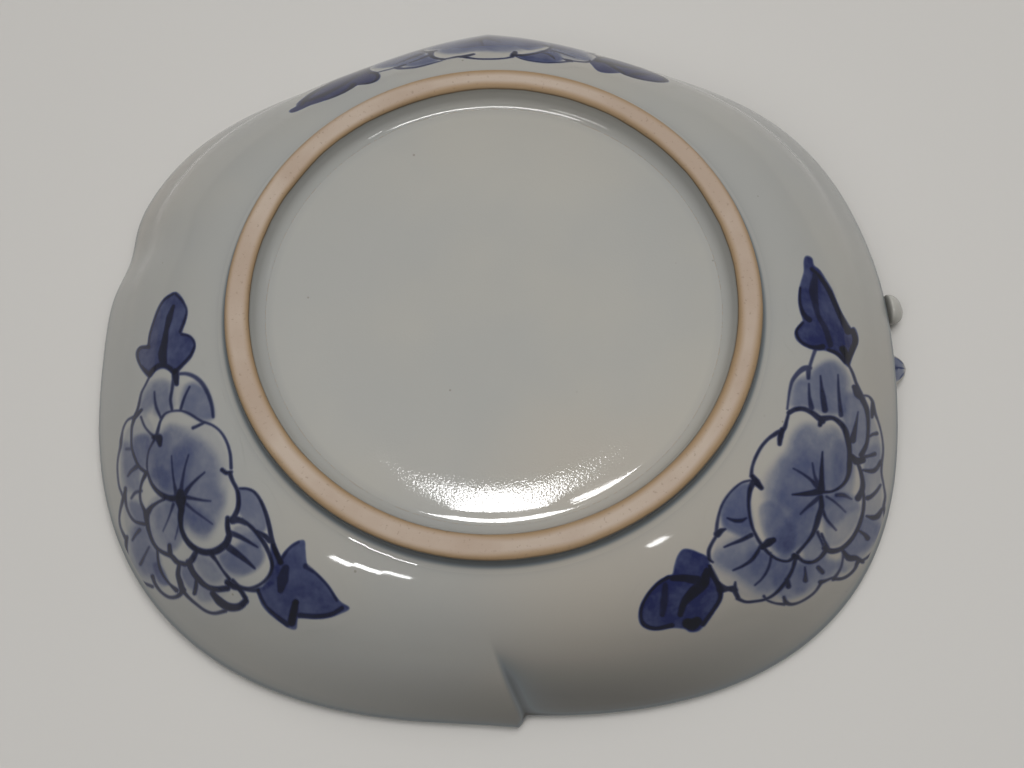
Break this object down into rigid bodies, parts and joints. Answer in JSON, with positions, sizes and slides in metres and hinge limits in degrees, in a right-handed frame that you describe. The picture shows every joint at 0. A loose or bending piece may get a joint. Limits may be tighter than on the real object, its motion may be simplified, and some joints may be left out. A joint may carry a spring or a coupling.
{
  "type": "condiment dish",
  "caption": "Small lobed porcelain dish with a pointed end, a lapped edge, a foot ring and an applied twig and leaf at the rim, with blue painted sprays on the outside.",
  "frame": {"origin": "middle of the object's box, at the level of the table that the rim rests on", "axes": "the dish lies face down: +Z out of the foot ring, +Y to the pointed end of the rim, +X to the twig; turn it half a turn about X to stand it on its foot"},
  "size_m": [0.151, 0.1392, 0.028],
  "materials": {
    "clear_glaze": "glossy clear glaze over white porcelain, with blue painting under it",
    "bare_tread": "unglazed, smooth, toasted by the kiln",
    "twig_glaze": "glossy clear glaze",
    "leaf_blue": "glossy clear glaze over dark blue painting"
  },
  "bodies": {
    "root": {"dish_body": "clear_glaze", "foot_ring": "bare_tread", "twig": "twig_glaze", "rim_leaf": "leaf_blue"}
  },
  "joints": []
}
